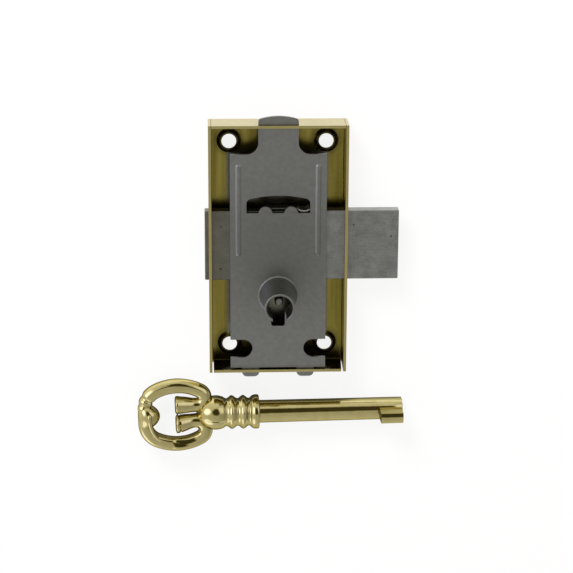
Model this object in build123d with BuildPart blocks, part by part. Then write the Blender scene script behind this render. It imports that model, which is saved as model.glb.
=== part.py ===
"""Surface rim lock with its key: folded brass case, drawn steel cover, sliding bolt.

Millimetres. The lock lies on the outer face of its back plate (z = 0). +X is the way
the bolt is thrown, +Y is up along the case, +Z points at the door and the open side.
The origin is the middle of the four screw holes on the back plate.
"""
import math
import os

from build123d import *

os.makedirs("parts", exist_ok=True)

# Case: one folded brass tray
case_w = 45.0
case_h = 83.0
sheet = 0.9
rim_over = 1.0
fold_out = 0.55
fold_in = 0.3
top_seam = 0.12
low_gap = 0.45

# Screw holes, pressed up and countersunk from the outer face
hole_edge_x = 6.75
hole_edge_y = 7.0
hole_r = 2.4
dimple_r = 4.0
dimple_rise = 1.1
land = 0.5
hole_x = case_w / 2 - hole_edge_x
hole_y = case_h / 2 - hole_edge_y

# Bolt: how far one turn of the key throws it, and where it runs
throw = 8.3
bolt_h = 23.1
bolt_t = 4.4
bolt_z = 4.6
bolt_top = 12.9
bolt_tail = 1.3
bolt_proud = 0.1
bolt_clear = 0.15
bolt_gap = 0.4
bolt_edge = 0.2
bolt_low = bolt_top - bolt_h
bolt_l = case_w + bolt_tail + bolt_proud + 2 * throw
bolt_x = bolt_l / 2 - case_w / 2 - bolt_tail
talon_w = 5.8
talon_r = 0.8
talon_clear = 0.3
stop_x = -6.5
stop_y = 4.0
stop_r = 2.3
stop_step = 1.0
stop_clear = 0.1
slot_r = stop_r + stop_clear

# Key: every size of the loose key
key_x = -6.2
key_y = -case_h / 2 - 15.9
shaft_l = 48.2
shaft_r = 3.75
edge = 0.25
ring_r = 5.75
ring_foot = 1.1
groove_r = 4.8
bead_step = 2.1
bead_rise = 0.5
bead_sink = 0.7
ball_x = -14.4
ball_end = 6.8
bit_l = 7.4
bit_t = 3.6
bit_reach = 8.5
bit_crown = 0.7
bit_lean = 6.0
bit_back = 0.4

# Bow wire: rounded corners at the back, a flatter crown on each side, then a tight curl in
# to the horn. Arc centres are measured from the middle of the bow; the arcs meet smoothly.
bow_x = -28.9
bow_y = -0.5
bow_turn = 1.5
bow_wire = 2.4
back_x = -2.5
back_y = 2.7
back_r = 6.6
crown_x = 1.6
crown_y = -5.65
curl_x = 8.2
curl_y = 5.8
horn_r = 2.95
horn_waist = 2.6
horn_tip = 0.7
horn_flare = 2.4
node_r = 3.7
node_half = 4.6
band_y = 2.0
band_r = 0.3
crown_r = back_r + math.hypot(back_x - crown_x, back_y - crown_y)
curl_r = crown_r - math.hypot(curl_x - crown_x, curl_y - crown_y)
crown_from = math.degrees(math.atan2(back_y - crown_y, back_x - crown_x))
crown_to = math.degrees(math.atan2(curl_y - crown_y, curl_x - crown_x))
horn_y = curl_y - curl_r
node_x = back_x - back_r - bow_wire + node_r

# Key pin in the middle of the tube, and the bore that slides over it
pin_r = 1.4
pin_rise = 16.6
pin_foot_r = 2.6
pin_foot_h = 0.35
pin_clear = 0.2
shank_r = 1.2
pin_top = sheet + pin_foot_h + pin_rise
bore_r = pin_r + pin_clear
bore_l = pin_rise + 0.4

# Cover: one steel plate with the key tube drawn out of it
cover_t = 1.0
cover_w = 31.2
cover_back = bolt_z + bolt_t + bolt_gap
cover_front = cover_back + cover_t
case_d = cover_front + rim_over
cover_low = -case_h / 2 + sheet + 0.45
shoulder_y = case_h / 2 - 9.5
neck_w = 12.9
neck_fillet = 3.7
tab_rise = 2.9
tab_dome = 1.05
tab_clear = 0.1
foot_x = 9.0
foot_w = 5.7
foot_drop = 1.75
notch_h = 6.2
notch_y = 1.0 - hole_y
notch_in = 8.36
bead_x = 12.9
bead_top = 28.8
bead_low = -1.8
bead_w = 1.9
bead_h = 0.32
bead_slope = 60

# Window in the cover with the two detent teeth
tooth_r = 2.15
tooth_root = 0.35
window_half = 1.5 * throw - tooth_r
window_low = bolt_top - 0.35
window_side = window_low + 4.45
window_top = window_side + 1.4
window_r = 1.7

# Key tube and the slot that the bit goes in by
tube_y = -15.1
tube_l = 14.8
tube_wall = 0.7
tube_fit = 0.42
tube_flare = 1.08
tube_taper = 8.1
tube_root = 0.9
lip = 0.2
tube_in = shaft_r + tube_fit
tube_or = tube_in + tube_wall
tube_base_or = tube_or + tube_flare
tube_top = cover_front + tube_l
tube_disc = tube_base_or + 2.0
slot_clear = 0.9
slot_spare = 2.15
slot_w = bit_t + slot_clear
slot_reach = bit_reach + slot_spare
slot_corner = 0.8
talon_h = bit_reach + tube_y - bolt_low + talon_clear

# Detent spring standing in the top edge of the bolt
spring_t = 0.4
spring_leg_x = -3.9
spring_leg = 3.7
spring_lift = 0.85
spring_z = bolt_z + 0.6
spring_w = bolt_t - 0.6
nose_half = throw / 2 - tooth_r - 0.2
nose_sag = 0.5
spring_leg_low = bolt_top - spring_leg
spring_y = bolt_top + spring_lift

# The key lies on the front edge of its collar and the tip of its shaft
key_pitch = math.atan((ring_r - shaft_r) / (shaft_l - edge))
key_rise = ring_r * math.cos(key_pitch)
key_plane = Plane(
    origin=(key_x, key_y, key_rise),
    x_dir=(math.cos(key_pitch), 0, -math.sin(key_pitch)),
    z_dir=(math.sin(key_pitch), 0, math.cos(key_pitch)),
)
bow_plane = Plane(key_plane * Location((bow_x, bow_y, 0), (0, 0, bow_turn)))
low = (Align.CENTER, Align.CENTER, Align.MIN)


def side_plane(x, y):
    """Sketch plane through (x, y): local x runs along X, local y runs up along Z."""
    return Plane(origin=(x, y, 0), x_dir=(1, 0, 0), z_dir=(0, -1, 0))


def turned(x, y, points, mode=Mode.ADD):
    """Turned shape about an upright axis at (x, y) from (radius, z) points."""
    with BuildSketch(side_plane(x, y)) as profile:
        Polygon(*points, align=None)
    revolve(profile.sketch, axis=Axis((x, y, 0), (0, 0, 1)), mode=mode)


def rounded(cx, cy, rx, ry, first, last, flats):
    """Points along a round stretch, in degrees, kept to a few flats."""
    step = math.radians(last - first) / flats
    angles = [math.radians(first) + i * step for i in range(flats + 1)]
    return [(cx + rx * math.cos(a), cy + ry * math.sin(a)) for a in angles]


def corner_gap(sx, sy, foot_gap, rim_gap):
    """Gap between a side flange and the end of the top or bottom flange."""
    x = case_w / 2 - sheet
    with BuildSketch(Plane.XZ.offset(-sy * (case_h / 2 + 1))) as gap:
        Polygon(
            (sx * x, sheet), (sx * x, case_d + 1),
            (sx * (x - rim_gap), case_d + 1), (sx * (x - foot_gap), sheet),
            align=None,
        )
    extrude(gap.sketch, amount=sy * (sheet + 1.6), mode=Mode.SUBTRACT)


def tray():
    """Folded tray with small fold radii outside and inside."""
    Box(case_w, case_h, case_d, align=low)
    fillet(case.edges().filter_by_position(Axis.Z, -0.01, 0.01), radius=fold_out)
    with Locations((0, 0, sheet)):
        Box(case_w - 2 * sheet, case_h - 2 * sheet, case_d, align=low, mode=Mode.SUBTRACT)
    fillet(case.edges().filter_by_position(Axis.Z, sheet - 0.01, sheet + 0.01), radius=fold_in)


def bolt_slots():
    """Closed slots for the bolt through both side flanges."""
    with Locations((0, bolt_top - bolt_h / 2, bolt_z + bolt_t / 2)):
        Box(case_w + 2, bolt_h + 2 * bolt_clear, bolt_t + 2 * bolt_clear, mode=Mode.SUBTRACT)


def tab_slots():
    """Slots the cover tabs go through in the top and bottom flanges."""
    z = cover_front - cover_t / 2
    with Locations((0, case_h / 2, z)):
        Box(neck_w + 2 * tab_clear, 3, cover_t + tab_clear, mode=Mode.SUBTRACT)
    with Locations((-foot_x, -case_h / 2, z), (foot_x, -case_h / 2, z)):
        Box(foot_w + 2 * tab_clear, 3, cover_t + tab_clear, mode=Mode.SUBTRACT)


def screw_dimple(x, y):
    """Sheet pressed up round a screw hole, countersunk from the outer face."""
    rise = sheet + dimple_rise
    cone = dimple_r - dimple_rise
    turned(x, y, [(0, 0.2), (dimple_r, 0.2), (dimple_r, sheet), (cone, rise), (0, rise)])
    sink = rise - land
    turned(x, y, [(0, -1), (hole_r + sink + 1, -1), (hole_r, sink), (0, sink)], Mode.SUBTRACT)
    with Locations((x, y, 0)):
        Cylinder(hole_r, 3 * rise, mode=Mode.SUBTRACT)


def rivet_hole(x, y):
    """Hole in the back plate for the foot of a riveted stud."""
    with Locations((x, y, 0)):
        Cylinder(shank_r, 4 * sheet, mode=Mode.SUBTRACT)


with BuildPart() as case:
    tray()
    for s in (-1, 1):
        corner_gap(s, 1, top_seam, top_seam)
    corner_gap(-1, -1, low_gap, low_gap)
    corner_gap(1, -1, low_gap / 3, low_gap * 1.6)
    bolt_slots()
    tab_slots()
    for sx in (-1, 1):
        for sy in (-1, 1):
            screw_dimple(sx * hole_x, sy * hole_y)
    rivet_hole(0, tube_y)
    rivet_hole(stop_x, stop_y)
case.part.label = "case"
export_step(case.part, "parts/case.step")


def near(sketch, x, y):
    """Corners of a sketch at (x, y) and at its mirror (-x, y)."""
    return [v for v in sketch.vertices() if abs(abs(v.X) - x) < 0.01 and abs(v.Y - y) < 0.01]


def cover_outline():
    """Plate with its neck and feet, and the screw notches cut into the sides."""
    corner = case_h / 2 + tab_rise - tab_dome
    drop = -case_h / 2 - foot_drop
    with BuildSketch(Plane.XY.offset(cover_back)) as face:
        with Locations((0, (shoulder_y + cover_low) / 2)):
            Rectangle(cover_w, shoulder_y - cover_low)
        with BuildLine():
            Polyline((-neck_w / 2, corner), (-neck_w / 2, 0), (neck_w / 2, 0), (neck_w / 2, corner))
            ThreePointArc((neck_w / 2, corner), (0, corner + tab_dome), (-neck_w / 2, corner))
        make_face()
        with Locations((-foot_x, drop / 2), (foot_x, drop / 2)):
            Rectangle(foot_w, -drop)
        fillet(near(face, neck_w / 2, shoulder_y), neck_fillet)
        fillet(near(face, neck_w / 2, corner), 1.0)
        for x in (foot_x - foot_w / 2, foot_x + foot_w / 2):
            fillet(near(face, x, drop), foot_drop - 0.1)
        with Locations((-notch_in - 8, notch_y), (notch_in + 8, notch_y)):
            SlotOverall(16, notch_h, mode=Mode.SUBTRACT)
    extrude(face.sketch, amount=cover_t)


def window():
    """Arched window with two round teeth left standing on its lower edge."""
    with BuildSketch(Plane.XY.offset(cover_back - 1)) as hole:
        with BuildLine():
            Polyline(
                (-window_half, window_side), (-window_half, window_low),
                (window_half, window_low), (window_half, window_side),
            )
            ThreePointArc((window_half, window_side), (0, window_top), (-window_half, window_side))
        make_face()
        fillet(near(hole, window_half, window_side), window_r)
        with Locations((-throw / 2, window_low), (throw / 2, window_low)):
            Circle(tooth_r, mode=Mode.SUBTRACT)
        for x in (throw / 2 - tooth_r, throw / 2 + tooth_r):
            fillet(near(hole, x, window_low), tooth_root)
    extrude(hole.sketch, amount=cover_t + 2, mode=Mode.SUBTRACT)


def beads():
    """Two shallow beads pressed forward out of the plate."""
    mid = (bead_top + bead_low) / 2
    spots = [(-bead_x, mid), (bead_x, mid)]
    with BuildSketch(Plane.XY.offset(cover_front)) as front:
        with Locations(*spots):
            SlotOverall(bead_top - bead_low, bead_w, rotation=90)
    extrude(front.sketch, amount=bead_h, taper=bead_slope)
    with BuildSketch(Plane.XY.offset(cover_back)) as back:
        with Locations(*spots):
            SlotOverall(bead_top - bead_low - 0.6, bead_w - 0.6, rotation=90)
    extrude(back.sketch, amount=bead_h, mode=Mode.SUBTRACT)


def tube_wall():
    """Wall of the drawn tube with its flared root and broken lip, in (radius, z)."""
    bend = cover_front + tube_taper
    r = tube_root
    root_in = tube_base_or - cover_t + 0.15
    turned(0, tube_y, [
        (tube_disc + 0.1, cover_back), (tube_disc + 0.1, cover_front),
        *rounded(tube_base_or + r, cover_front + r, r, r, 270, 185, 3),
        (tube_or, bend), (tube_or, tube_top - lip), (tube_or - lip, tube_top),
        (tube_in + lip, tube_top), (tube_in, tube_top - lip), (tube_in, bend),
        *rounded(root_in + r, cover_back + r, r, r, 185, 270, 2),
    ])


def key_tube():
    """Key tube drawn out of the plate, open below for the bit."""
    with Locations((0, tube_y, cover_back - 1)):
        Cylinder(tube_disc, cover_t + 2, align=low, mode=Mode.SUBTRACT)
    tube_wall()
    with BuildSketch(Plane.XY.offset(cover_back - 1)) as slot:
        with Locations((0, tube_y - slot_reach / 2)):
            Rectangle(slot_w, slot_reach)
        fillet(near(slot, slot_w / 2, tube_y - slot_reach), slot_corner)
    extrude(slot.sketch, amount=tube_l + 3, mode=Mode.SUBTRACT)


with BuildPart() as cover:
    cover_outline()
    window()
    beads()
    key_tube()
cover.part.label = "cover"
export_step(cover.part, "parts/cover.step")


def talons():
    """Two notches in the lower edge for the bit, one for each turn of the key."""
    places = [throw / 2, 1.5 * throw]
    with BuildSketch(Plane.XY.offset(bolt_z - 1)) as cut:
        with Locations(*[(x, bolt_low) for x in places]):
            Rectangle(talon_w, 2 * talon_h)
        for x in places:
            for side in (x - talon_w / 2, x + talon_w / 2):
                fillet(near(cut, side, bolt_low + talon_h), talon_r)
    extrude(cut.sketch, amount=bolt_t + 2, mode=Mode.SUBTRACT)


def stop_slot():
    """Long slot the riveted stud runs in; its ends stop the bolt."""
    with BuildSketch(Plane.XY.offset(bolt_z - 1)) as slot:
        with Locations((stop_x + throw, stop_y)):
            SlotOverall(2 * (throw + slot_r), 2 * slot_r)
    extrude(slot.sketch, amount=bolt_t + 2, mode=Mode.SUBTRACT)


with BuildPart() as bolt:
    with Locations((bolt_x, bolt_top - bolt_h / 2, bolt_z + bolt_t / 2)):
        Box(bolt_l, bolt_h, bolt_t)
    chamfer(bolt.edges(), bolt_edge)
    talons()
    stop_slot()
    with Locations((spring_leg_x, bolt_top, bolt_z + bolt_t / 2)):
        Box(spring_t, 2 * spring_leg, bolt_t + 1, mode=Mode.SUBTRACT)
bolt.part.label = "bolt"
export_step(bolt.part, "parts/bolt.step")


def spring_run():
    """Leg pressed into the bolt and the straight run above its edge."""
    half = spring_t / 2
    run = throw - nose_half - spring_leg_x
    with BuildSketch(Plane.XY.offset(spring_z)) as strip:
        with Locations((spring_leg_x, (spring_leg_low + spring_y) / 2)):
            Rectangle(spring_t, spring_y - spring_leg_low)
        with Locations((spring_leg_x + (run - half) / 2, spring_y)):
            Rectangle(run + half, spring_t)
        fillet([v for v in strip.vertices()
                if abs(v.X - spring_leg_x + half) < 0.01 and abs(v.Y - spring_y - half) < 0.01], half)
    extrude(strip.sketch, amount=spring_w)


def spring_nose():
    """Nose that sags into a window notch and reaches forward through the cover."""
    half = spring_t / 2
    left, right = throw - nose_half, throw + nose_half
    with BuildSketch(Plane.XY.offset(spring_z)) as nose:
        with BuildLine():
            y = spring_y - half
            ThreePointArc((left, y), (throw, y - nose_sag), (right, y))
            Line((right, y), (right, y + spring_t))
            ThreePointArc((right, y + spring_t), (throw, y + spring_t - nose_sag), (left, y + spring_t))
            Line((left, y + spring_t), (left, y))
        make_face()
    extrude(nose.sketch, amount=cover_front - 0.1 - spring_z)


with BuildPart() as detent_spring:
    spring_run()
    spring_nose()
detent_spring.part.label = "detent_spring"
export_step(detent_spring.part, "parts/detent_spring.step")

with BuildPart() as stop_stud:
    shoulder = bolt_z - stop_clear
    head = bolt_z + bolt_t
    turned(stop_x, stop_y, [
        (0, 0), (shank_r, 0), (shank_r, sheet), (stop_r + stop_step, sheet),
        (stop_r + stop_step, shoulder), (stop_r, shoulder),
        (stop_r, head - 0.3), (stop_r - 0.3, head), (0, head),
    ])
stop_stud.part.label = "stop_stud"
export_step(stop_stud.part, "parts/stop_stud.step")

with BuildPart() as key_pin:
    foot = sheet + pin_foot_h
    turned(0, tube_y, [
        (0, 0), (shank_r, 0), (shank_r, sheet), (pin_foot_r, sheet), (pin_foot_r, foot),
        (pin_r, foot), (pin_r, pin_top - 0.5), (pin_r - 0.4, pin_top), (0, pin_top),
    ])
key_pin.part.label = "key_pin"
export_step(key_pin.part, "parts/key_pin.step")


def beside(base, y=0.0):
    """Plane beside the local x axis of a base plane, with local y pointing up."""
    return Plane(origin=base.from_local_coords((0, y, 0)), x_dir=base.x_dir, z_dir=-base.y_dir)


def spin(profile, base=key_plane, y=0.0):
    """Turn a profile about a line along the local x axis of a base plane."""
    revolve(profile.sketch, axis=Axis(base.from_local_coords((0, y, 0)), base.x_dir))


def shaft():
    """Round shaft with a broken edge at the tip."""
    with BuildSketch(beside(key_plane)) as profile:
        Polygon(
            (-2, 0), (shaft_l, 0), (shaft_l, shaft_r - edge), (shaft_l - edge, shaft_r),
            (-2, shaft_r), align=None,
        )
    spin(profile)


def collar():
    """Long-ended ball, two beads and the flat-ended stop collar, with round grooves between."""
    mid = groove_r + 0.4
    start = -2 * ring_foot
    waves = []
    for i, bulge in enumerate(2 * (-bead_sink, bead_rise)):
        for k in (1, 2, 3):
            waves.append((start - (i + k / 3) * bead_step, mid + bulge * math.sin(math.pi * k / 3)))
    edge_angle = math.degrees(math.asin(mid / ring_r))
    with BuildSketch(beside(key_plane)) as profile:
        Polygon(
            (ball_x - ball_end, 0), (0, 0), (0, ring_r), (-ring_foot, ring_r), (start, mid), *waves,
            *rounded(ball_x, 0, ring_r, ring_r, edge_angle, 90, 1),
            *rounded(ball_x, 0, ball_end, ring_r, 90, 180, 3)[1:-1], align=None,
        )
    spin(profile)


def wire_arc(cx, cy, radius, first, last, side):
    """Stretch of the bow wire round (cx, cy), mirrored to the given side."""
    first, last = (first, last) if side > 0 else (-last, -first)
    centre = bow_plane.from_local_coords((cx, side * cy, 0))
    turn = Axis(centre, bow_plane.z_dir)
    out = bow_plane.x_dir.rotate(turn, first)
    with BuildSketch(Plane(origin=centre, x_dir=out, z_dir=out.cross(bow_plane.z_dir))) as wire:
        with Locations((radius, 0)):
            RegularPolygon(bow_wire, 8, major_radius=False, rotation=22.5)
    revolve(wire.sketch, axis=turn, revolution_arc=last - first)


def horn(side):
    """Straight end of the wire beside the axis, flared to a blunt tip."""
    with BuildSketch(beside(bow_plane, side * horn_y)) as profile:
        Polygon(
            (curl_x, 0), (curl_x, horn_waist), (horn_tip + horn_flare, horn_waist),
            (horn_tip, horn_r), (horn_tip, 0), align=None,
        )
    spin(profile, bow_plane, side * horn_y)


def around_node(points):
    """Shape turned about the line through the node that lies along the wire."""
    with BuildSketch(bow_plane) as profile:
        Polygon(*points, align=None)
    revolve(profile.sketch, axis=Axis(bow_plane.from_local_coords((node_x, 0, 0)), bow_plane.y_dir))


def bow():
    """Wire bow with curled horns and a swollen node, banded at its upper end."""
    for side in (-1, 1):
        wire_arc(back_x, back_y, back_r, crown_from, 180, side)
        wire_arc(crown_x, crown_y, crown_r, crown_to, crown_from, side)
        wire_arc(curl_x, curl_y, curl_r, -90, crown_to, side)
        horn(side)
    around_node(rounded(node_x, 0, node_r, node_half, -90, 90, 4))
    r = node_x + node_r * math.sqrt(1 - (band_y / node_half) ** 2)
    around_node([
        (node_x, band_y - 2 * band_r), (r - band_r, band_y - 2 * band_r), (r + band_r, band_y),
        (r - band_r, band_y + 2 * band_r), (node_x, band_y + 2 * band_r),
    ])


def bit():
    """Plain bit with a rounded outer end, leaning a little off square to the bow."""
    end = Plane(key_plane * Location((shaft_l - bit_back, 0, 0), (bit_lean, 0, 0)))
    shoulder = bit_reach - bit_crown
    half = bit_t / 2
    with BuildSketch(Plane(origin=end.origin, x_dir=end.y_dir, z_dir=end.x_dir)) as profile:
        with BuildLine():
            Polyline((-half, shoulder), (-half, 0), (half, 0), (half, shoulder))
            ThreePointArc((half, shoulder), (0, bit_reach), (-half, shoulder))
        make_face()
    extrude(profile.sketch, amount=-bit_l)


with BuildPart() as key:
    shaft()
    collar()
    bow()
    bit()
    with BuildSketch(beside(key_plane)):
        Polygon(
            (shaft_l - bore_l, 0), (shaft_l + 1, 0), (shaft_l + 1, bore_r + 1.3),
            (shaft_l - 0.3, bore_r), (shaft_l - bore_l, bore_r), align=None,
        )
    revolve(axis=Axis(key_plane.origin, key_plane.x_dir), mode=Mode.SUBTRACT)
key.part.label = "key"
export_step(key.part, "parts/key.step")
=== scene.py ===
"""Looks for the rim lock: materials on the CAD pieces and a smooth cast key.

Sizes are in millimetres times MM, in the lock's own frame: +Z up from the back plate,
+Y up along the case, +X the way the bolt is thrown. Noise scales are per metre.
"""
import math

import bmesh
import bpy
from mathutils import Matrix, Vector


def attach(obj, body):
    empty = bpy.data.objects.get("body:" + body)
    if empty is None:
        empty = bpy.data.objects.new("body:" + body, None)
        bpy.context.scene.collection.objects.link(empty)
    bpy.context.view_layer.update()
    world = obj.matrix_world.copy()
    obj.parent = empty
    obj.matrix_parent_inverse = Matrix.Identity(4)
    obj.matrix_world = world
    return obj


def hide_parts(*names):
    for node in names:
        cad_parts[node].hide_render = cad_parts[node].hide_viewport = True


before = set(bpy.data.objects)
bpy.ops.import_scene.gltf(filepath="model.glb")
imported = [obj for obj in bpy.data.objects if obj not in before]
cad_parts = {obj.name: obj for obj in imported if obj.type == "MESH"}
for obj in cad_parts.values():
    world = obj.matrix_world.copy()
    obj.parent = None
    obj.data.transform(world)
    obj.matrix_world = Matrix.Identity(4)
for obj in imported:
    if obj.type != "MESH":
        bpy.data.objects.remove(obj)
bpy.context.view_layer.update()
MM = 0.001

# Camera: where the photographer stood, and which way the picture's axes run
CAMERA_AT = (-0.02391, 0.17539, 0.61267)
CAMERA_RIGHT = (0.99907, 0.00430, 0.04285)
CAMERA_UP = (0.00863, 0.95482, -0.29705)
LENS = 121.6
SENSOR = 36.0
CLIP_START = 0.01

# Studio as a gloss sees it: its level, and how that grows with X, Y and the square of Y
LEVEL = 0.50
SLOPE = (-0.17, 0.09, 0.20)

# Dark opening overhead: middle and half width along Y and along X in degrees, soft edge in
# squares of a half width, level and brown tint
PATCH_ALONG = (21.5, 23.0)
PATCH_ACROSS = (5.0, 23.0)
PATCH_EDGE = (0.55, 1.6)
PATCH_LEVEL = 0.05
PATCH_TINT = (1.0, 0.86, 0.42)
WHITE = (1.0, 1.0, 1.0)

# Three soft windows as (direction, strength), their edge as cosines, and their tint
WINDOWS = (((-1.19, 0.51, 1.0), 1.25), ((-1.33, -1.96, 1.0), 0.8), ((1.0, 0.7, 1.0), 0.5))
WINDOW_EDGE = (0.90, 0.985)
WINDOW_TINT = (0.98, 1.0, 1.35)

# Light that a dull surface gets from all sides, and the lamp with its soft shadow, in metres
FILL = 0.62
LAMP_AT = (-0.35, 0.75, 0.62)
LAMP_AIM = (0, -0.01, 0)
LAMP_SIZE = 0.4
LAMP_POWER = 6.5

# Floor: half its size in metres, how far it lies under the lock in mm, its dull white
FLOOR_HALF = 3.0
FLOOR_DROP = 0.05
FLOOR_COLOUR = (0.86, 0.86, 0.86)
FLOOR_ROUGH = 0.9

# Floor's glow: its share of the floor's look, and its strength for the camera
GLOW_SHARE = 0.8
GLOW_SEEN = 1.06

# Floor's glow in a gloss: its strength under the case, from a soft line along Y in mm, and
# in front of it, where it is a painted shadow of the case and things that stand close darken it
GLOW_CASE = 1.15
CASE_LINE = (-46, -38)
CONTACT_REACH = 9.0
CONTACT_SAMPLES = 8
CONTACT_EDGE = (0.55, 0.97)
CONTACT_GLOW = (0.06, 0.72)

# Painted shadow in the gap between key and case: its glow, and its soft edges along Y and along
# X in mm
GAP_GLOW = 0.05
GAP_Y = (-57, -52)
GAP_ENDS = ((-30, -20), (29, 20))

# Metals: the two colours of their clouds, roughness from and to, scale of the grain along
# each axis, depth of the grain in metres, and scale of the clouds
METALS = {
    "case_brass": (((0.54, 0.45, 0.17), (0.60, 0.51, 0.22)), (0.20, 0.27),
                   (700, 900, 700), 8e-7, 70.0),
    "cover_steel": (((0.28, 0.28, 0.26), (0.325, 0.325, 0.30)), (0.38, 0.46),
                    (2600, 420, 800), 5e-6, 700.0),
    "bolt_steel": (((0.30, 0.30, 0.28), (0.42, 0.42, 0.39)), (0.34, 0.46),
                   (260, 3800, 3800), 6e-6, 300.0),
    "spring_steel": (((0.50, 0.49, 0.45), (0.62, 0.61, 0.57)), (0.12, 0.22),
                     (300, 3000, 3000), 3e-6, 60.0),
    "stud_steel": (((0.20, 0.20, 0.18), (0.28, 0.28, 0.255)), (0.20, 0.34),
                   (2600, 2600, 260), 5e-6, 60.0),
    "key_brass": (((0.63, 0.54, 0.225), (0.71, 0.62, 0.29)), (0.05, 0.13),
                  (500, 900, 900), 3e-6, 260.0),
}
NOISE_SPAN = (0.3, 0.7)
CLOUD_DETAIL = 5.0
GRAIN_DETAIL = 3.0
CLOUD_BUMP = 0.3
GRAIN_BUMP = 0.5

# Boxes that hold painted shade, as (half X, low Y, high Y, half Z, soft edge), in mm
TRAY = (22.05, -41.05, 41.05, 11.0, 0.1)
TRAY_FOOT = (26.0, -46.0, -35.5, 11.0, 3.0)
UNDER_COVER = (17.0, -34.0, 31.5, 1.6, 0.8)
AT_DETENT = (11.5, 9.6, 16.0, 12.0, 1.0)
SPRING_LEAF = (6.8, 0.0, 16.0, 12.0, 0.8)
SOFT_Z = 0.2

# Case: tray brass painted darker as shade, with streaks; painted shade at its foot and round the
# screw holes, and a painted shadow under the cover
STREAKS = (330.0, 18.0, 120.0)
STREAK_SPAN = (0.32, 0.68)
SHADED_TRAY_STREAKS = ((0.23, 0.185, 0.034), (0.43, 0.355, 0.08))
FOOT_SHADE = (0.10, 0.08, 0.02)
HOLE_X = 15.75
HOLE_Y = 34.5
HOLE_RING = (1.5, 6.4)
HOLE_SHADE = (0.05, 0.04, 0.015)
TRAY_SHADOW = (0.22, 0.21, 0.155)

# Bolt: scratches, specks and pits as (scale, detail, noise that shows, share, tint), then
# painted shade at the detent under the cover and at its tail
BOLT_MARKS = (
    ((220.0, 3000.0, 900.0), 4.0, (0.4, 0.75), 0.38, (0.20, 0.20, 0.185)),
    ((1700.0, 1700.0, 1700.0), 1.0, (0.54, 0.74), 0.38, (0.17, 0.17, 0.155)),
    ((560.0, 560.0, 560.0), 0.0, (0.805, 0.83), 1, (0.05, 0.05, 0.045)),
)
BOLT_SHADE = (0.10, 0.10, 0.085)
TAIL_X = (-12, -17)
TAIL_SHARE = 0.6
TAIL_SHADE = (0.12, 0.11, 0.055)

# Cover and spring: painted shade on the cover's middle, fading between two distances in mm, and
# painted shade on the spring under the cover
MIDDLE_RING = (6, 32)
MIDDLE_SHARE = 0.4
MIDDLE_SHADE = (0.15, 0.15, 0.13)
SPRING_SHADE = (0.10, 0.10, 0.08)

# Key's finish: uneven casting, and the tint of its sheen
CASTING = (430.0, 430.0, 430.0)
CASTING_DETAIL = 1.0
CASTING_BUMP = 0.5
CASTING_DEPTH = 6e-5
KEY_SHEEN = (0.3, 0.27, 0.16)

# Broken edges of the CAD pieces: width in mm, and the angles of a corner and of a crease
BREAKS = {
    "case": (0.12, 35, 42),
    "cover": (0.13, 80, 24),
    "bolt": (0.08, 35, 42),
    "detent_spring": (0.05, 35, 42),
    "stop_stud": (0.08, 35, 42),
    "key_pin": (0.08, 35, 42),
}
EDGE_STEPS = 2
WELD = 1e-6

# Key: the sizes of the CAD key, with the small differences that a casting shows
KEY_ORIGIN = (-6.2, -57.4)
KEY_CREASE = 38
SHAFT_L = 48.2
SHAFT_R = 3.75
SHAFT_R0 = 3.8
SHAFT_R1 = 3.68
SHAFT_PARTS = 12
EDGE = 0.25
RING_R = 5.75
WAVES = ((-1.95, 5.55), (-3.35, 4.62), (-5.25, 5.66), (-7.1, 4.62), (-9.05, 5.66),
         (-10.9, 4.66), (-12.4, 5.39))
WAVE_PARTS = 8
BALL_X = -14.4
BALL_END = 6.5
BALL_PARTS = (6, 18)
BORE_R = 1.6
BORE_L = 17.0
BORE_EDGE = 0.35
BORE_POINT = 1

# Collar, nose of the shaft and bore, as (x, radius)
COLLAR = [(-1.75, 5.68), (-1.4, RING_R), (-0.55, RING_R), (-0.2, RING_R - 0.1),
          (0, RING_R - 0.35), (0.02, SHAFT_R0 + 0.25), (0.25, SHAFT_R0)]
NOSE = [(SHAFT_L - EDGE, SHAFT_R1), (SHAFT_L - 0.07, SHAFT_R1 - 0.09),
        (SHAFT_L, SHAFT_R1 - EDGE)]
BORE = [(SHAFT_L, BORE_R + BORE_EDGE), (SHAFT_L - BORE_EDGE, BORE_R),
        (SHAFT_L - BORE_L, BORE_R), (SHAFT_L - BORE_L - BORE_POINT, 0)]

# Casting line along the stem: where it runs, its depth, and its place and width in degrees
SEAM_X = (-20.0, -7.2)
SEAM_DEPTH = 0.15
SEAM_AT = 105
SEAM_WIDTH = 0.8

# Bit: length, thickness, reach from the key's axis, crown of its end, lean in degrees,
# distance from the tip, and its round edges where faces meet at more than an angle
BIT_L = 7.4
BIT_T = 3.6
BIT_REACH = 8.5
BIT_CROWN = 0.7
BIT_LEAN = 6.0
BIT_BACK = 0.4
BIT_EDGE = 0.22
BIT_STEPS = 3
BIT_CORNER = 30
BIT_PARTS = 6

# Bow: arcs of the wire's centre line, measured from the middle of the bow
BOW_X = -28.9
BOW_Y = -0.5
BOW_TURN = 1.5
WIRE_R = 2.4
FLATNESS = 2.5
BACK = (-2.5, 2.7)
BACK_R = 6.6
BACK_PARTS = (8, 32)
CROWN = (1.6, -5.65)
CROWN_PARTS = 24
CURL_END = 10.9
CURL_SPARE = 0.12
CURL_PARTS = 28
CURL_EASE = 8

# Bands above the node: the grooves beside them, their depth and width
BAND_GROOVES = (1.8, 3.95, 6.1)
BAND_DEPTH = 0.34
BAND_WIDTH = 0.5

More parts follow.
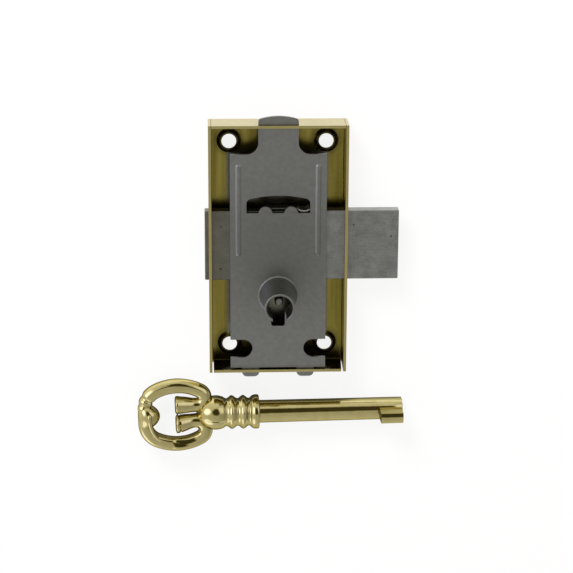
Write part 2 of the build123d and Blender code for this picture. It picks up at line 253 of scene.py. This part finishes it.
# Horns: distance of root and tip from the axis by side, how they rise and swell, and their
# lips as (distance from the tip, height over the waist)
HORNS = {1: (3.2, 3.75), -1: (2.3, 2.95)}
HORN_TIP = 0.9
HORN_LIFT = 0.9
LIFT_FROM = 8.3
LIFT_RUN = 7.4
HORN_BACK = -6
HORN_SIDE = 5.2
HORN_WAIST = 2.86
HORN_DIP = 0.1
HORN_PARTS = 14
LIP_L = 2.6
GROOVED_LIP = [(2.3, 0.08), (2.0, 0.14), (1.75, 0.1), (1.6, -0.08), (1.5, -0.14),
               (1.4, -0.06), (1.2, 0.2), (0.9, 0.31), (0.6, 0.28), (0.35, 0.12)]
PLAIN_LIP = [(2.0, 0.03), (1.6, 0.08), (1.2, 0.16), (0.9, 0.22), (0.6, 0.22), (0.35, 0.1)]
LIP_END = [(0.15, -0.2), (0.03, -0.7), (0, -1.3)]
BUTTON_L = 1.2
BUTTON_SIDE = 4.5
BUTTON_PARTS = 10

# Wire's section, in mm and in degrees round it: where it squares off, its two ridges and the
# hollow between them, the lower wire's facet and the upper wire's crest
SQUARE_X = 5
SQUARE_RUN = 3
RIDGES = (128, 232)
RIDGE = 0.16
RIDGE_WIDTH = 12
HOLLOW = 0.12
HOLLOW_AT = 180
HOLLOW_WIDTH = 22
FACET = ((0.36, 68), (-0.24, 112))
FACET_WIDTH = 13
FACET_X = (-0.5, 9)
FACET_EASE = 1.5
FACET_LEAN = 10
FACET_RUN = 7
CREST = 0.12
CREST_AT = 72
CREST_WIDTH = 7
CREST_X = 2.4
CREST_GAP = 1.2

# Node opposite the shaft: how far in it reaches, half its length, how it swells and sits on
# the wire; and its leaf as (x, y, z, radius)
NODE_IN = 4.95
NODE_HALF = 4.6
NODE_ROUND = 0.85
NODE_OUT = 0.02
NODE_SEAT = 1.2
NODE_THIN = 0.3
LEAF = ((-7.6, 1.6, 3.2, 0.0), (-7.6, 1.5, 3.25, 0.45), (-7.62, 1.0, 3.35, 0.7),
        (-7.66, -0.4, 3.5, 0.75), (-7.6, -1.8, 3.25, 0.74), (-7.3, -3.4, 2.65, 0.72),
        (-6.7, -5.2, 2.3, 0.62), (-5.7, -6.9, 2.15, 0.52), (-4.3, -8.3, 2.0, 0.4),
        (-2.7, -9.3, 1.85, 0.25), (-2.2, -9.5, 1.7, 0.0))

# Mesh steps round the stem, the wire, the node and the leaf
STEM_STEPS = 240
WIRE_STEPS = 72
NODE_STEPS = 64
LEAF_STEPS = 24

X_AXIS = (1, 0, 0)
Y_AXIS = (0, 1, 0)
Z_AXIS = (0, 0, 1)


def put(tree, socket, value):
    """Link a shader socket to another, or set it to a number or a colour."""
    if isinstance(value, bpy.types.NodeSocket):
        tree.links.new(value, socket)
    elif isinstance(value, tuple):
        socket.default_value = (*value, 1)
    else:
        socket.default_value = value


def calc(tree, kind, one, two=0.0):
    """Maths on numbers or sockets."""
    node = tree.nodes.new("ShaderNodeMath")
    node.operation = kind
    put(tree, node.inputs[0], one)
    put(tree, node.inputs[1], two)
    return node.outputs[0]


def axes(tree, kind="Object"):
    """X, Y and Z of a texture coordinate."""
    split = tree.nodes.new("ShaderNodeSeparateXYZ")
    tree.links.new(tree.nodes.new("ShaderNodeTexCoord").outputs[kind], split.inputs[0])
    return split.outputs[:]


def ranged(tree, value, low, high, ends=(0.0, 1.0), ease="SMOOTHSTEP"):
    """Value that runs between two ends as another goes from low to high."""
    node = tree.nodes.new("ShaderNodeMapRange")
    node.interpolation_type = ease
    names = ("From Min", "From Max", "To Min", "To Max")
    for name, number in zip(names, (low, high, *ends)):
        node.inputs[name].default_value = number
    tree.links.new(value, node.inputs["Value"])
    return node.outputs["Result"]


def rise(tree, value, low, high):
    """0 at one place and 1 at another, in mm, with a soft step between them."""
    return ranged(tree, value, low * MM, high * MM)


def blend_value(tree, share, low, high):
    """Value between low and high; either may be a number or a socket."""
    mix = tree.nodes.new("ShaderNodeMix")
    mix.data_type = "FLOAT"
    for i, value in ((0, share), (2, low), (3, high)):
        put(tree, mix.inputs[i], value)
    return mix.outputs[0]


def tinted(tree, share, colour, other):
    """Colour mixed towards another by a share; either may be a colour or a socket."""
    mix = tree.nodes.new("ShaderNodeMix")
    mix.data_type = "RGBA"
    for i, value in ((0, share), (6, colour), (7, other)):
        put(tree, mix.inputs[i], value)
    return mix.outputs[2]


def dotted(tree, vector, weights):
    """Dot product of a vector with fixed weights."""
    node = tree.nodes.new("ShaderNodeVectorMath")
    node.operation = "DOT_PRODUCT"
    node.inputs[1].default_value = weights
    tree.links.new(vector, node.inputs[0])
    return node.outputs["Value"]


def stretched(tree, scale, detail):
    """Noise over the row frame, stretched by its scale along each axis."""
    place = tree.nodes.new("ShaderNodeTexCoord")
    mapping = tree.nodes.new("ShaderNodeMapping")
    mapping.inputs["Scale"].default_value = scale
    tree.links.new(place.outputs["Object"], mapping.inputs["Vector"])
    noise = tree.nodes.new("ShaderNodeTexNoise")
    noise.inputs["Scale"].default_value = 1.0
    noise.inputs["Detail"].default_value = detail
    tree.links.new(mapping.outputs["Vector"], noise.inputs["Vector"])
    return noise.outputs["Fac"]


def ramp(tree, value, span, ends):
    """Colour or grey that runs between two ends as a value crosses a span."""
    node = tree.nodes.new("ShaderNodeValToRGB")
    for stop, place, end in zip(node.color_ramp.elements, span, ends):
        stop.position = place
        stop.color = (*end, 1) if isinstance(end, tuple) else (end, end, end, 1)
    tree.links.new(value, node.inputs["Fac"])
    return node.outputs["Color"]


def principled(tree):
    """Shader of a material."""
    return tree.nodes["Principled BSDF"]


def new_material(name):
    """Empty node material, with its tree."""
    mat = bpy.data.materials.new(name)
    mat.use_nodes = True
    return mat, mat.node_tree


def bump(tree, height, strength, distance, before=None):
    """Bump on the shader's normal, laid over an earlier one where there is one."""
    node = tree.nodes.new("ShaderNodeBump")
    node.inputs["Strength"].default_value = strength
    node.inputs["Distance"].default_value = distance
    tree.links.new(height, node.inputs["Height"])
    if before is not None:
        tree.links.new(before, node.inputs["Normal"])
    tree.links.new(node.outputs["Normal"], principled(tree).inputs["Normal"])
    return node.outputs["Normal"]


def metal(name):
    """Metal with a brushed grain, cloudy colour and roughness that varies with it."""
    colours, rough, grain, depth, clouds = METALS[name]
    mat, tree = new_material(name)
    shader = principled(tree)
    shader.inputs["Metallic"].default_value = 1.0
    cloud = stretched(tree, (clouds,) * 3, CLOUD_DETAIL)
    lines = stretched(tree, grain, GRAIN_DETAIL)
    tree.links.new(ramp(tree, cloud, NOISE_SPAN, colours), shader.inputs["Base Color"])
    tree.links.new(ramp(tree, lines, NOISE_SPAN, rough), shader.inputs["Roughness"])
    fine = bump(tree, lines, GRAIN_BUMP, depth)
    bump(tree, cloud, CLOUD_BUMP, depth * 2, fine)
    return mat


def inside(tree, half_x, low_y, high_y, half_z, soft):
    """1 within a box of the row frame, in mm, fading over soft at its sides."""
    spans = ((0, half_x, soft), ((low_y + high_y) / 2, (high_y - low_y) / 2, soft),
             (0, half_z, SOFT_Z))
    shares = []
    for place, (middle, half, edge) in zip(axes(tree), spans):
        off = calc(tree, "ABSOLUTE", calc(tree, "SUBTRACT", place, middle * MM))
        shares.append(ranged(tree, off, half * MM, (half - edge) * MM, ease="LINEAR"))
    x, y, z = shares
    return calc(tree, "MINIMUM", calc(tree, "MINIMUM", x, y), z)


def near(tree, x, y, close, far):
    """1 at a spot mirrored about the axes, fading to 0 between two distances, in mm."""
    vector = tree.nodes.new("ShaderNodeTexCoord").outputs["Object"]
    steps = (("ABSOLUTE", None), ("SUBTRACT", Vector((x, y, 0)) * MM),
             ("MULTIPLY", (1, 1, 0)), ("LENGTH", None))
    for kind, value in steps:
        node = tree.nodes.new("ShaderNodeVectorMath")
        node.operation = kind
        tree.links.new(vector, node.inputs[0])
        if value is not None:
            node.inputs[1].default_value = value
        vector = node.outputs["Value" if kind == "LENGTH" else "Vector"]
    return rise(tree, vector, far, close)


def paint_over(tree, share, tint):
    """Lay a tint over a material's colour by a share."""
    base = principled(tree).inputs["Base Color"]
    tree.links.new(tinted(tree, share, base.links[0].from_socket, tint), base)


def case_metal():
    """Bright plating outside; in the tray, streaked brass painted darker as shade, painted shade
    at its foot and round the screw holes, and a painted shadow under the cover.
    """
    mat = metal("case_brass")
    tree = mat.node_tree
    # Tray brass painted darker as shade, with streaks along Y
    tray_shade = ramp(tree, stretched(tree, STREAKS, GRAIN_DETAIL), STREAK_SPAN, SHADED_TRAY_STREAKS)
    # Painted shade in the tray's corner at its foot
    tray_shade = tinted(tree, inside(tree, *TRAY_FOOT), tray_shade, FOOT_SHADE)
    paint_over(tree, inside(tree, *TRAY), tray_shade)
    # Painted shade round the dimpled screw holes
    paint_over(tree, near(tree, HOLE_X, HOLE_Y, *HOLE_RING), HOLE_SHADE)
    # Painted shadow on the tray floor under the cover and just beside its edges
    paint_over(tree, inside(tree, *UNDER_COVER), TRAY_SHADOW)
    return mat


def bolt_metal():
    """Brushed steel with scratches and pits, with painted shade at the detent under the cover
    and at its tail.
    """
    mat = metal("bolt_steel")
    tree = mat.node_tree
    for scale, detail, span, most, tint in BOLT_MARKS:
        paint_over(tree, ramp(tree, stretched(tree, scale, detail), span, (0, most)), tint)
    # Painted shade on the bolt under the cover, at the detent
    paint_over(tree, inside(tree, *AT_DETENT), BOLT_SHADE)
    # Painted shade, tinted brown, on the bolt's left end inside the case
    tail = rise(tree, axes(tree)[0], *TAIL_X)
    paint_over(tree, ramp(tree, tail, (0, 1), (0, TAIL_SHARE)), TAIL_SHADE)
    return mat


def cover_metal():
    """Dull steel sheet with painted shade, a little darker towards its middle."""
    mat = metal("cover_steel")
    tree = mat.node_tree
    # Painted shade, fading out from the cover's middle
    middle = near(tree, 0, 0, *MIDDLE_RING)
    paint_over(tree, ramp(tree, middle, (0, 1), (0, MIDDLE_SHARE)), MIDDLE_SHADE)
    return mat


def spring_metal():
    """Bright spring steel at the nose, with painted shade along the rest of the leaf under the
    cover.
    """
    mat = metal("spring_steel")
    # Painted shade on the spring leaf under the cover
    paint_over(mat.node_tree, inside(mat.node_tree, *SPRING_LEAF), SPRING_SHADE)
    return mat


def key_metal():
    """Polished brass plating over an uneven casting."""
    mat = metal("key_brass")
    tree = mat.node_tree
    shader = principled(tree)
    fine = shader.inputs["Normal"].links[0].from_socket
    casting = stretched(tree, CASTING, CASTING_DETAIL)
    bump(tree, casting, CASTING_BUMP, CASTING_DEPTH, fine)
    shader.inputs["Specular Tint"].default_value = (*KEY_SHEEN, 1)
    return mat


def make_materials():
    """The material of each piece."""
    stud = metal("stud_steel")
    return {
        "case": case_metal(),
        "cover": cover_metal(),
        "bolt": bolt_metal(),
        "detent_spring": spring_metal(),
        "stop_stud": stud,
        "key_pin": stud,
        "key": key_metal(),
    }


def dress(node, mat, width, corner, crease):
    """Give a CAD piece its material, small broken edges at its corners, and crisp creases."""
    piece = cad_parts[node]
    piece.data.materials.clear()
    piece.data.materials.append(mat)
    weld = piece.modifiers.new("weld", "WELD")
    weld.merge_threshold = WELD
    edge = piece.modifiers.new("edges", "BEVEL")
    edge.width = width * MM
    edge.segments = EDGE_STEPS
    edge.limit_method = "ANGLE"
    edge.angle_limit = math.radians(corner)
    edge.use_clamp_overlap = True
    split = piece.modifiers.new("creases", "EDGE_SPLIT")
    split.use_edge_sharp = False
    split.split_angle = math.radians(crease)
    normals = piece.modifiers.new("normals", "WEIGHTED_NORMAL")
    normals.keep_sharp = False


def smooth(t):
    """Soft step from 0 to 1."""
    t = min(max(t, 0), 1)
    return t * t * (3 - 2 * t)


def bell(value, middle, width):
    """Soft bump of height 1."""
    return math.exp(-((value - middle) / width) ** 2)


def arc(cx, cy, r, first, last, count):
    """Points along an arc, in degrees."""
    step = math.radians(last - first) / count
    turns = [math.radians(first) + i * step for i in range(count + 1)]
    return [(cx + r * math.cos(a), cy + r * math.sin(a)) for a in turns]


def shell(bm, name):
    """Object made of a finished bmesh, smooth shaded."""
    bmesh.ops.recalc_face_normals(bm, faces=bm.faces)
    mesh = bpy.data.meshes.new(name)
    bm.to_mesh(mesh)
    bm.free()
    for face in mesh.polygons:
        face.use_smooth = True
    piece = bpy.data.objects.new(name, mesh)
    bpy.context.scene.collection.objects.link(piece)
    return piece


def rings(name, frames, steps, shape=None):
    """Closed skin through round sections, each (centre, across, up, radius) in mm."""
    bm = bmesh.new()
    loops = []
    for centre, across, up, radius in frames:
        if radius == 0:
            loops.append([bm.verts.new(Vector(centre) * MM)])
            continue
        loop = []
        for i in range(steps):
            a = 2 * math.pi * i / steps
            r = radius + (shape(a, centre) if shape else 0)
            out = math.cos(a) * Vector(across) + math.sin(a) * Vector(up)
            loop.append(bm.verts.new((Vector(centre) + r * out) * MM))
        loops.append(loop)
    for one, two in zip(loops, loops[1:]):
        for i in range(steps):
            j = (i + 1) % steps
            if len(one) == 1:
                bm.faces.new((one[0], two[j], two[i]))
            elif len(two) == 1:
                bm.faces.new((one[i], one[j], two[0]))
            else:
                bm.faces.new((one[i], one[j], two[j], two[i]))
    return shell(bm, name)


def stem_profile():
    """Ball, beads, collar, tapered shaft and the bore in its tip, as (x, radius)."""
    waves = []
    for (x0, r0), (x1, r1) in zip(WAVES, WAVES[1:]):
        waves += [(x0 + (x1 - x0) * k / WAVE_PARTS, r0 + (r1 - r0) * smooth(k / WAVE_PARTS))
                  for k in range(WAVE_PARTS)]
    first = math.degrees(math.acos((WAVES[-1][0] - BALL_X) / RING_R))
    front, rear = BALL_PARTS
    ball = arc(BALL_X, 0, RING_R, first, 90, front)[:-1]
    ball += [(BALL_X + (x - BALL_X) * BALL_END / RING_R, r)
             for x, r in arc(BALL_X, 0, RING_R, 90, 180, rear)]
    ball[-1] = (ball[-1][0], 0)
    shaft = [(SHAFT_L * k / SHAFT_PARTS, SHAFT_R0 + (SHAFT_R1 - SHAFT_R0) * k / SHAFT_PARTS)
             for k in range(1, SHAFT_PARTS)]
    return ball[::-1] + waves[::-1] + COLLAR + shaft + NOSE + BORE


def stem_seam(a, centre):
    """Fine casting line along the ball and the first bead."""
    if not SEAM_X[0] < centre[0] < SEAM_X[1]:
        return 0
    return -SEAM_DEPTH * bell(math.degrees(a), SEAM_AT, SEAM_WIDTH)


def curl_of(side, crown_r):
    """Centre and radius of the curl that meets the crown and ends along the horn."""
    horn = HORNS[side][0]
    a, b = CURL_END - CROWN[0], horn - CROWN[1]
    p, q = 2 * crown_r - 2 * (a - b), a * a + b * b - crown_r * crown_r
    r = (-p + math.sqrt(p * p - 4 * q)) / 2
    return CURL_END - r, horn + r, r


def band_grooves(y):
    """Depth of the grooves round the wire that leave two bands above the node."""
    return sum(BAND_DEPTH * bell(y, at, BAND_WIDTH) for at in BAND_GROOVES)


def horn_profile(start, wire, lipped):
    """Horn from the end of the curl: it swells to a blunt tip, with or without a groove."""
    run = start - HORN_TIP - LIP_L
    swell = []
    for k in range(1, HORN_PARTS + 1):
        dip = HORN_DIP * math.sin(math.pi * k / HORN_PARTS)
        grown = (HORN_WAIST - wire) * smooth(k / HORN_PARTS)
        swell.append((start - run * k / HORN_PARTS, wire - dip + grown))
    lip = (GROOVED_LIP if lipped else PLAIN_LIP) + LIP_END
    return swell + [(HORN_TIP + x, HORN_WAIST + r) for x, r in lip] + [(HORN_TIP, 0)]


def bow_line(side):
    """Half of the bow's centre line with its wire radius, from the node to the horn tip."""
    crown_r = BACK_R + math.hypot(BACK[0] - CROWN[0], BACK[1] - CROWN[1])
    cx, cy, curl_r = curl_of(side, crown_r)
    to_crown = math.degrees(math.atan2(BACK[1] - CROWN[1], BACK[0] - CROWN[0]))
    to_curl = math.degrees(math.atan2(cy - CROWN[1], cx - CROWN[0]))
    flat, round_part = BACK_PARTS
    line = [(BACK[0] - BACK_R, BACK[1] * k / flat) for k in range(flat)]
    line += arc(*BACK, BACK_R, 180, to_crown, round_part)[:-1]
    line += arc(*CROWN, crown_r, to_crown, to_curl, CROWN_PARTS)[:-1]
    wires = [WIRE_R - (band_grooves(y) if side > 0 and x < BACK[0] else 0) for x, y in line]
    turn = arc(cx, cy, curl_r, to_curl, -90, CURL_PARTS)
    tight = min(WIRE_R, curl_r - CURL_SPARE)
    line += turn
    wires += [WIRE_R + (tight - WIRE_R) * smooth(k / CURL_EASE) for k in range(len(turn))]
    root, tip = HORNS[side]
    for x, r in horn_profile(cx, tight, side < 0):
        share = smooth((cx - x) / (cx - HORN_TIP))
        line.append((x, root + (tip - root) * share))
        wires.append(r)
    return [((x, side * y), r) for (x, y), r in zip(line, wires)]


def bow_section(a, centre):
    """Broad wire section with a ridge towards the inside, round again along the horns."""
    x, y = centre[:2]
    horn = abs(y) < HORN_SIDE and x > HORN_BACK
    square = 0.0 if horn else 0.5 + 0.5 * smooth((SQUARE_X - x) / SQUARE_RUN)
    c, s = abs(math.cos(a)), abs(math.sin(a))
    flat = WIRE_R * ((c ** FLATNESS + s ** FLATNESS) ** (-1 / FLATNESS) - 1)
    turn = math.degrees(a)
    ridge = sum(RIDGE * bell(turn, at, RIDGE_WIDTH) for at in RIDGES)
    hollow = HOLLOW * bell(turn, HOLLOW_AT, HOLLOW_WIDTH)
    if y < 0:
        low, high = FACET_X
        share = smooth((x - low) / FACET_EASE) * smooth((high - x) / FACET_EASE)
        ridge *= 1 - share
        lean = FACET_LEAN * (1 - smooth(x / FACET_RUN))
        crest = share * sum(size * bell(turn, at + lean, FACET_WIDTH) for size, at in FACET)
    else:
        crest = smooth(abs(x - CREST_X) - CREST_GAP) * CREST * bell(turn, CREST_AT, CREST_WIDTH)
    return square * (flat + ridge - hollow + crest)


def bow_half(side):
    """Wire from the node round to the blunt tip of its horn."""
    line = bow_line(side)
    frames = []
    last = len(line) - 1
    for i, ((x, y), r) in enumerate(line):
        before, after = line[max(i - 1, 0)][0], line[min(i + 1, last)][0]
        run = Vector((after[0] - before[0], after[1] - before[1], 0)).normalized()
        button = x < HORN_TIP + BUTTON_L and abs(y) < BUTTON_SIDE and i > last - BUTTON_PARTS
        if i == 0:
            run = Vector((0, side, 0))
        elif i == last or button:
            run = Vector((-1, 0, 0))
        across = side * Vector((-run.y, run.x, 0))
        on_horn = x > 0 and abs(y) < HORN_SIDE
        lift = HORN_LIFT * smooth((LIFT_FROM - x) / LIFT_RUN) if on_horn else 0
        frames.append(((x, y, lift), across, Z_AXIS, r))
    frames.insert(0, (frames[0][0], frames[0][1], Z_AXIS, 0))
    return rings(f"bow_half_{'low' if side < 0 else 'high'}", frames, WIRE_STEPS, bow_section)


def node_bead():
    """Swollen node opposite the shaft, leaning inwards."""
    inner, outer = BACK[0] - BACK_R + NODE_IN, BACK[0] - BACK_R - WIRE_R
    frames = []
    for k in range(NODE_STEPS + 1):
        a = math.radians(-90 + 180 * k / NODE_STEPS)
        y = NODE_HALF * math.sin(a)
        swell = math.cos(a) ** NODE_ROUND
        left = outer - NODE_OUT * swell
        right = outer + NODE_SEAT + (inner - outer - NODE_SEAT) * swell
        r = max((right - left) / 2 * (0.5 + 0.5 * swell), NODE_THIN) if 0 < k < NODE_STEPS else 0
        frames.append((((left + right) / 2, y, 0), X_AXIS, Z_AXIS, r))
    return rings("node_bead", frames, NODE_STEPS)


def node_stem():
    """Raised leaf from the node down the inner side of the lower wire."""
    frames = []
    last = len(LEAF) - 1
    for i, (x, y, z, r) in enumerate(LEAF):
        x0, y0 = LEAF[max(i - 1, 0)][:2]
        x1, y1 = LEAF[min(i + 1, last)][:2]
        run = Vector((x1 - x0, y1 - y0, 0)).normalized()
        frames.append(((x, y, z), (-run.y, run.x, 0), Z_AXIS, r))
    return rings("node_stem", frames, LEAF_STEPS)


def bit_block():
    """Bit with a crowned outer end and small round edges."""
    bm = bmesh.new()
    x0, x1 = SHAFT_L - BIT_BACK - BIT_L, SHAFT_L - BIT_BACK
    half = BIT_T / 2
    shoulder = BIT_REACH - BIT_CROWN
    crown = [(half * k / BIT_PARTS, shoulder + BIT_CROWN * (1 - (k / BIT_PARTS) ** 2))
             for k in range(-BIT_PARTS, BIT_PARTS + 1)]
    outline = [(-half, 0.0)] + crown + [(half, 0.0)]
    ends = [[bm.verts.new(Vector((x, y, z)) * MM) for y, z in outline] for x in (x0, x1)]
    count = len(outline)
    for i in range(count):
        j = (i + 1) % count
        bm.faces.new((ends[0][i], ends[0][j], ends[1][j], ends[1][i]))
    bm.faces.new(ends[0])
    bm.faces.new(list(reversed(ends[1])))
    rim = [e for e in bm.edges if e.calc_face_angle(0) > math.radians(BIT_CORNER)]
    bmesh.ops.bevel(bm, geom=rim, offset=BIT_EDGE * MM, segments=BIT_STEPS, affect="EDGES",
                    profile=0.5)
    lean = Matrix.Rotation(math.radians(BIT_LEAN), 3, "X")
    bmesh.ops.rotate(bm, matrix=lean, verts=bm.verts)
    return shell(bm, "bit_block")


def joined(base, others):
    """Union of closed shells, kept as one clean skin."""
    for other in others:
        union = base.modifiers.new("join", "BOOLEAN")
        union.operation = "UNION"
        union.solver = "EXACT"
        union.object = other
    bpy.context.view_layer.update()
    graph = bpy.context.evaluated_depsgraph_get()
    mesh = bpy.data.meshes.new_from_object(base.evaluated_get(graph))
    base.modifiers.clear()
    base.data = mesh
    for other in others:
        bpy.data.objects.remove(other)
    return base


def key_frame():
    """Row-frame matrix of the key, tipped so it lies on its collar and its tip."""
    pitch = math.atan((RING_R - SHAFT_R) / (SHAFT_L - EDGE))
    height = RING_R * math.cos(pitch)
    turn = Matrix.Rotation(pitch, 4, "Y")
    return Matrix.Translation(Vector((*KEY_ORIGIN, height)) * MM) @ turn


def make_key(mat):
    """The cast key as one smooth piece that stands for the CAD key."""
    stem = [((x, 0, 0), Y_AXIS, Z_AXIS, r) for x, r in stem_profile()]
    key = rings("cast_key", stem, STEM_STEPS, stem_seam)
    place = Matrix.Translation(Vector((BOW_X, BOW_Y, 0)) * MM)
    turn = place @ Matrix.Rotation(math.radians(BOW_TURN), 4, "Z")
    bow = [bow_half(1), bow_half(-1), node_bead(), node_stem()]
    for part in bow:
        part.data.transform(turn)
    key = joined(key, bow + [bit_block()])
    key.data.transform(key_frame())
    key.data.materials.clear()
    key.data.materials.append(mat)
    for face in key.data.polygons:
        face.use_smooth = True
        face.material_index = 0
    key.data.set_sharp_from_angle(angle=math.radians(KEY_CREASE))
    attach(key, "loose_key")
    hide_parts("key")


def seen_directly(tree):
    """The floor's glow for rays from the camera, a gloss or a glass, else nothing."""
    path = tree.nodes.new("ShaderNodeLightPath")
    rays = calc(tree, "MAXIMUM", path.outputs["Is Camera Ray"], path.outputs["Is Glossy Ray"])
    rays = calc(tree, "MAXIMUM", rays, path.outputs["Is Transmission Ray"])
    return calc(tree, "MULTIPLY", rays, GLOW_SHARE)


def mirrored_floor(tree):
    """Strength of the floor's glow in a gloss: a painted shadow in front of the case, darker by
    the key, and in the gap most.
    """
    contact = tree.nodes.new("ShaderNodeAmbientOcclusion")
    contact.samples = CONTACT_SAMPLES
    contact.inputs["Distance"].default_value = CONTACT_REACH * MM
    shade = ranged(tree, contact.outputs["AO"], *CONTACT_EDGE, CONTACT_GLOW)
    x, y, z = axes(tree)
    gap = rise(tree, y, *GAP_Y)
    for end in GAP_ENDS:
        gap = calc(tree, "MULTIPLY", gap, rise(tree, x, *end))
    shade = blend_value(tree, gap, shade, GAP_GLOW)
    return blend_value(tree, rise(tree, y, *CASE_LINE), shade, GLOW_CASE)


def white_floor():
    """Pale floor that looks white to the camera and keeps a soft shadow."""
    bm = bmesh.new()
    bmesh.ops.create_grid(bm, x_segments=1, y_segments=1, size=FLOOR_HALF)
    floor = shell(bm, "floor")
    floor.location.z = -FLOOR_DROP * MM
    mat, tree = new_material("floor_white")
    shader = principled(tree)
    shader.inputs["Base Color"].default_value = (*FLOOR_COLOUR, 1)
    shader.inputs["Roughness"].default_value = FLOOR_ROUGH
    path = tree.nodes.new("ShaderNodeLightPath")
    camera = path.outputs["Is Camera Ray"]
    glow = tree.nodes.new("ShaderNodeEmission")
    strength = blend_value(tree, camera, mirrored_floor(tree), GLOW_SEEN)
    tree.links.new(strength, glow.inputs["Strength"])
    mix = tree.nodes.new("ShaderNodeMixShader")
    tree.links.new(seen_directly(tree), mix.inputs["Fac"])
    tree.links.new(shader.outputs["BSDF"], mix.inputs[1])
    tree.links.new(glow.outputs["Emission"], mix.inputs[2])
    tree.links.new(mix.outputs["Shader"], tree.nodes["Material Output"].inputs["Surface"])
    floor.data.materials.append(mat)


def lean_from(tree, sideways, upright, middle, half):
    """Square of how far a direction leans from a middle, in half widths, from degrees."""
    off = calc(tree, "SUBTRACT", calc(tree, "ARCTAN2", sideways, upright), math.radians(middle))
    off = calc(tree, "DIVIDE", off, math.radians(half))
    return calc(tree, "MULTIPLY", off, off)


def studio_world():
    """Pale studio, brighter behind and to the left, with a dark opening overhead."""
    world = bpy.data.worlds.new("studio")
    bpy.context.scene.world = world
    world.use_nodes = True
    tree = world.node_tree
    x, y, z = axes(tree, "Generated")
    reach = calc(tree, "ADD", lean_from(tree, y, z, *PATCH_ALONG),
                 lean_from(tree, x, z, *PATCH_ACROSS))
    outside = ranged(tree, reach, *PATCH_EDGE)
    terms = tree.nodes.new("ShaderNodeCombineXYZ")
    for socket, value in zip(terms.inputs, (x, y, calc(tree, "MULTIPLY", y, y))):
        tree.links.new(value, socket)
    level = calc(tree, "ADD", dotted(tree, terms.outputs[0], SLOPE), LEVEL)
    mirrored = blend_value(tree, outside, PATCH_LEVEL, level)
    shade = tinted(tree, outside, PATCH_TINT, WHITE)
    toward = tree.nodes.new("ShaderNodeTexCoord").outputs["Generated"]
    for spot, strength in WINDOWS:
        lit_by = dotted(tree, toward, Vector(spot).normalized())
        glow = ranged(tree, lit_by, *WINDOW_EDGE, (0.0, strength))
        mirrored = calc(tree, "ADD", mirrored, glow)
        shade = tinted(tree, glow, shade, WINDOW_TINT)
    path = tree.nodes.new("ShaderNodeLightPath")
    lit = blend_value(tree, path.outputs["Is Glossy Ray"], FILL, mirrored)
    seen = blend_value(tree, path.outputs["Is Camera Ray"], lit, 1.0)
    tree.links.new(seen, tree.nodes["Background"].inputs["Strength"])
    tree.links.new(shade, tree.nodes["Background"].inputs["Color"])


def window_lamp():
    """Large soft lamp aimed at the middle of the object."""
    lamp = bpy.data.lights.new("window_lamp", "AREA")
    lamp.shape = "SQUARE"
    lamp.size = LAMP_SIZE
    lamp.energy = LAMP_POWER
    holder = bpy.data.objects.new("window_lamp", lamp)
    holder.location = LAMP_AT
    holder.rotation_mode = "QUATERNION"
    aim = Vector(LAMP_AIM) - Vector(LAMP_AT)
    holder.rotation_quaternion = aim.to_track_quat("-Z", "Y")
    holder.visible_glossy = False
    bpy.context.scene.collection.objects.link(holder)


def photo_camera():
    """Camera where the photograph was taken from."""
    lens = bpy.data.cameras.new("camera")
    lens.lens = LENS
    lens.sensor_width = SENSOR
    lens.clip_start = CLIP_START
    camera = bpy.data.objects.new("camera", lens)
    right, up = Vector(CAMERA_RIGHT), Vector(CAMERA_UP)
    turn = Matrix((right, up, right.cross(up))).transposed()
    camera.matrix_world = Matrix.Translation(CAMERA_AT) @ turn.to_4x4()
    bpy.context.scene.collection.objects.link(camera)
    bpy.context.scene.camera = camera


finishes = make_materials()
for node, edges in BREAKS.items():
    dress(node, finishes[node], *edges)
make_key(finishes["key"])
white_floor()
studio_world()
window_lamp()
photo_camera()
bpy.context.scene.view_settings.view_transform = "Standard"
